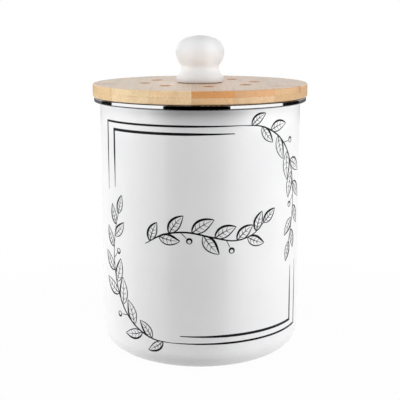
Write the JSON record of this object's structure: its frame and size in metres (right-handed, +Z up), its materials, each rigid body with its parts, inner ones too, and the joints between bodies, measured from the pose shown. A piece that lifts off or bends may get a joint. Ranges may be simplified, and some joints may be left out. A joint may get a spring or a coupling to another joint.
{
  "type": "compost caddy",
  "caption": "Countertop compost caddy: white enamelled steel bin with a polished rim, bamboo lid, ceramic knob, charcoal filter and lift-out bucket.",
  "frame": {"origin": "centre of the bin's base, on the worktop", "axes": "+Z up along the bin's axis, the printed front faces -Y, +X to the right seen from the front"},
  "size_m": [0.182, 0.182, 0.2691],
  "materials": {
    "white_enamel": "gloss",
    "polished_steel": "polished",
    "bucket_plastic": "satin",
    "bail_plastic": "satin",
    "bamboo": "satin lacquer",
    "silicone": "matte",
    "white_glaze": "gloss",
    "brown_pad": "matte",
    "brass": "turned",
    "zinc_steel": "zinc plated",
    "filter_plastic": "satin",
    "charcoal_felt": "felt"
  },
  "bodies": {
    "bin": {"bin_shell": "white_enamel", "rim_band": "polished_steel"},
    "bucket": {"inner_bucket": "bucket_plastic"},
    "bail": {"bucket_bail": "bail_plastic"},
    "lid": {"lid_board": "bamboo", "lid_plug": "bamboo", "seal_ring": "silicone", "knob": "white_glaze", "knob_pad": "brown_pad", "knob_insert": "brass", "knob_screw": "zinc_steel", "screw_washer": "zinc_steel", "filter_holder": "filter_plastic", "holder_screws": "zinc_steel", "charcoal_filter": "charcoal_felt"},
    "cover": {"filter_cover": "filter_plastic"}
  },
  "joints": [
    {"name": "bucket_lift", "type": "slide", "parent": "bin", "child": "bucket", "axis": [0, 0, 1], "range_m": [0, 0.22]},
    {"name": "lid_lift", "type": "slide", "parent": "bucket", "child": "lid", "axis": [0, 0, 1], "range_m": [0, 0.16]},
    {"name": "bail_swing", "type": "hinge", "parent": "bucket", "child": "bail", "pos_m": [0, 0, 0.1955], "axis": [1, 0, 0], "range_deg": [0, 90]},
    {"name": "cover_turn", "type": "hinge", "parent": "lid", "child": "cover", "pos_m": [0, 0, 0.2075], "axis": [0, 0, -1], "range_deg": [0, 30]}
  ],
  "couplings": [
    {"joint": "bail_swing", "follows": "lid_lift", "rad_per_m": 9.8}
  ]
}
